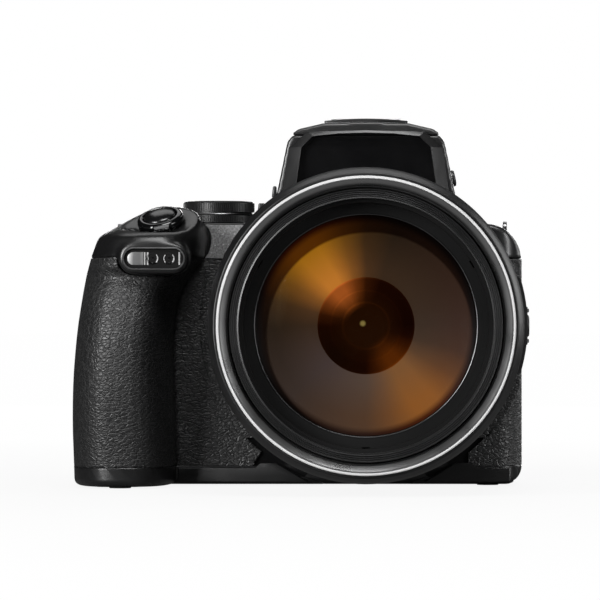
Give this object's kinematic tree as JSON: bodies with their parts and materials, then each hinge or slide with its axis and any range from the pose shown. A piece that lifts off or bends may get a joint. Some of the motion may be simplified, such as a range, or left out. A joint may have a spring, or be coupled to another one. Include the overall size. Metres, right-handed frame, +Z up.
{
  "type": "bridge camera",
  "caption": "Bridge camera with a hand grip, a viewfinder hump with a lifting flash, a swing-out monitor and a telescoping zoom lens with a filter thread.",
  "frame": {"origin": "mouth of the tripod socket, on the plane that the feet rest on", "axes": "+Z up, the lens looks along -Y, +X is to the right seen from the front"},
  "size_m": [0.1458, 0.1813, 0.1187],
  "materials": {
    "casing_plastic": "fine textured black",
    "grip_rubber": "grained black",
    "gloss_black": "polished black",
    "control_plastic": "satin black",
    "barrel_paint": "satin black",
    "bright_trim": "polished edge",
    "steel": "brushed",
    "lens_glass": "coated",
    "inner_glass": "amber coated",
    "lamp_glass": "clear",
    "screen_glass": "dark polished",
    "cell_grey": "matte",
    "board_green": "solder mask"
  },
  "bodies": {
    "camera_body": {"front_cover": "casing_plastic", "rear_cover": "casing_plastic", "top_cover": "casing_plastic", "base_plate": "casing_plastic", "grip_skin": "grip_rubber", "side_skin": "grip_rubber", "viewfinder_plate": "gloss_black", "lamp_bezel": "gloss_black", "lamp_window": "lamp_glass", "tripod_socket": "steel", "rubber_feet": "grip_rubber", "strap_eyelets": "steel", "accessory_shoe": "steel", "lens_base": "barrel_paint", "nose_ring": "barrel_paint", "eyecup": "grip_rubber", "eyepiece_lens": "lens_glass", "monitor_hinge": "steel", "thumb_pad": "grip_rubber", "battery": "cell_grey", "battery_box": "casing_plastic", "connector_jacks": "steel", "main_board": "board_green", "image_sensor": "screen_glass"},
    "mid_tube": {"mid_barrel": "barrel_paint"},
    "lens_head": {"front_barrel": "barrel_paint", "trim_ring": "bright_trim", "filter_ring": "barrel_paint", "lens_retainer": "casing_plastic", "front_lens": "lens_glass", "inner_lens_holder": "barrel_paint", "inner_lens": "inner_glass"},
    "control_ring": {"control_ring": "grip_rubber"},
    "side_lever": {"side_zoom_lever": "control_plastic"},
    "snapback": {"snapback_button": "control_plastic"},
    "shutter": {"shutter_button": "gloss_black"},
    "zoom_ring": {"zoom_lever": "control_plastic"},
    "mode_dial": {"mode_dial": "control_plastic"},
    "command_dial": {"command_dial": "control_plastic"},
    "power": {"power_button": "control_plastic"},
    "function": {"function_button": "control_plastic"},
    "record": {"record_button": "control_plastic"},
    "flash": {"flash_head": "casing_plastic", "flash_window": "lamp_glass"},
    "flash_release": {"flash_button": "control_plastic"},
    "diopter": {"diopter_knob": "control_plastic"},
    "monitor": {"monitor_case": "casing_plastic", "monitor_glass": "screen_glass"},
    "monitor_key": {"monitor_button": "control_plastic"},
    "display_key": {"display_button": "control_plastic"},
    "playback_key": {"playback_button": "control_plastic"},
    "menu_key": {"menu_button": "control_plastic"},
    "delete_key": {"delete_button": "control_plastic"},
    "selector": {"multi_selector": "control_plastic"},
    "ok_key": {"ok_button": "control_plastic"},
    "focus_switch": {"focus_selector": "control_plastic"},
    "lock_key": {"lock_button": "control_plastic"},
    "battery_door": {"battery_door": "casing_plastic"},
    "door_latch": {"door_latch": "control_plastic"},
    "port_cover": {"connector_cover": "grip_rubber"}
  },
  "joints": [
    {"name": "mid_tube_slide", "type": "slide", "parent": "camera_body", "child": "mid_tube", "axis": [0, -1, 0], "range_m": [0, 0.055]},
    {"name": "lens_head_slide", "type": "slide", "parent": "mid_tube", "child": "lens_head", "axis": [0, -1, 0], "range_m": [0, 0.055]},
    {"name": "control_ring_turn", "type": "hinge", "parent": "camera_body", "child": "control_ring", "pos_m": [0, -0.0875, 0.0515], "axis": [0, -1, 0], "continuous": true},
    {"name": "side_lever_slide", "type": "slide", "parent": "camera_body", "child": "side_lever", "axis": [0, 0, 1], "range_m": [-0.0025, 0.0025], "stiffness_N_per_m": 400},
    {"name": "snapback_press", "type": "slide", "parent": "camera_body", "child": "snapback", "axis": [-1, 0, 0], "range_m": [0, 0.0005], "stiffness_N_per_m": 600},
    {"name": "shutter_press", "type": "slide", "parent": "camera_body", "child": "shutter", "axis": [0.17, 0.454, -0.8746], "range_m": [0, 0.0011], "stiffness_N_per_m": 600},
    {"name": "zoom_ring_turn", "type": "hinge", "parent": "camera_body", "child": "zoom_ring", "pos_m": [-0.065, -0.044, 0.0837], "axis": [-0.17, -0.454, 0.8746], "range_deg": [-18, 18], "stiffness_Nm_per_rad": 0.05},
    {"name": "mode_dial_turn", "type": "hinge", "parent": "camera_body", "child": "mode_dial", "pos_m": [-0.0482, 0.002, 0.088], "axis": [0, 0, 1], "continuous": true},
    {"name": "command_dial_turn", "type": "hinge", "parent": "camera_body", "child": "command_dial", "pos_m": [-0.062, 0.021, 0.086], "axis": [0, 0, 1], "continuous": true},
    {"name": "power_press", "type": "slide", "parent": "camera_body", "child": "power", "axis": [0, 0, -1], "range_m": [0, 0.0006], "stiffness_N_per_m": 600},
    {"name": "function_press", "type": "slide", "parent": "camera_body", "child": "function", "axis": [0, 0, -1], "range_m": [0, 0.0006], "stiffness_N_per_m": 600},
    {"name": "record_press", "type": "slide", "parent": "camera_body", "child": "record", "axis": [0, -1, 0], "range_m": [0, 0.0006], "stiffness_N_per_m": 600},
    {"name": "flash_lift", "type": "hinge", "parent": "camera_body", "child": "flash", "pos_m": [0, -0.0156, 0.1146], "axis": [-1, 0, 0], "range_deg": [0, 60]},
    {"name": "flash_release_press", "type": "slide", "parent": "camera_body", "child": "flash_release", "axis": [-0.9791, -0.0422, -0.1991], "range_m": [0, 0.0005], "stiffness_N_per_m": 600},
    {"name": "diopter_turn", "type": "hinge", "parent": "camera_body", "child": "diopter", "pos_m": [0.0205, 0.037, 0.097], "axis": [1, 0, 0], "range_deg": [-90, 90]},
    {"name": "monitor_swing", "type": "hinge", "parent": "camera_body", "child": "monitor", "pos_m": [0.0445, 0.0348, 0.03975], "axis": [0, 0, -1], "range_deg": [0, 180]},
    {"name": "monitor_key_press", "type": "slide", "parent": "camera_body", "child": "monitor_key", "axis": [0, -1, 0], "range_m": [0, 0.0006], "stiffness_N_per_m": 600},
    {"name": "display_key_press", "type": "slide", "parent": "camera_body", "child": "display_key", "axis": [0, -1, 0], "range_m": [0, 0.0006], "stiffness_N_per_m": 600},
    {"name": "playback_key_press", "type": "slide", "parent": "camera_body", "child": "playback_key", "axis": [0, -1, 0], "range_m": [0, 0.0006], "stiffness_N_per_m": 600},
    {"name": "menu_key_press", "type": "slide", "parent": "camera_body", "child": "menu_key", "axis": [0, -1, 0], "range_m": [0, 0.0006], "stiffness_N_per_m": 600},
    {"name": "delete_key_press", "type": "slide", "parent": "camera_body", "child": "delete_key", "axis": [0, -1, 0], "range_m": [0, 0.0006], "stiffness_N_per_m": 600},
    {"name": "selector_turn", "type": "hinge", "parent": "camera_body", "child": "selector", "pos_m": [-0.06, 0.031, 0.035], "axis": [0, 1, 0], "continuous": true},
    {"name": "ok_key_press", "type": "slide", "parent": "camera_body", "child": "ok_key", "axis": [0, -1, 0], "range_m": [0, 0.0005], "stiffness_N_per_m": 600},
    {"name": "focus_switch_turn", "type": "hinge", "parent": "camera_body", "child": "focus_switch", "pos_m": [-0.055, 0.031, 0.062], "axis": [0, -1, 0], "range_deg": [0, 35]},
    {"name": "lock_key_press", "type": "slide", "parent": "camera_body", "child": "lock_key", "axis": [0, -1, 0], "range_m": [0, 0.0005], "stiffness_N_per_m": 600},
    {"name": "battery_door_swing", "type": "hinge", "parent": "camera_body", "child": "battery_door", "pos_m": [-0.0676, -0.019, 0.0015], "axis": [0, -1, 0], "range_deg": [0, 90]},
    {"name": "door_latch_slide", "type": "slide", "parent": "battery_door", "child": "door_latch", "axis": [1, 0, 0], "range_m": [0, 0.0022]},
    {"name": "port_cover_swing", "type": "hinge", "parent": "camera_body", "child": "port_cover", "pos_m": [0.0496, 0.0136, 0.04], "axis": [0, 0, -1], "range_deg": [0, 100]}
  ],
  "couplings": [
    {"joint": "mid_tube_slide", "follows": "lens_head_slide", "ratio": 1}
  ]
}
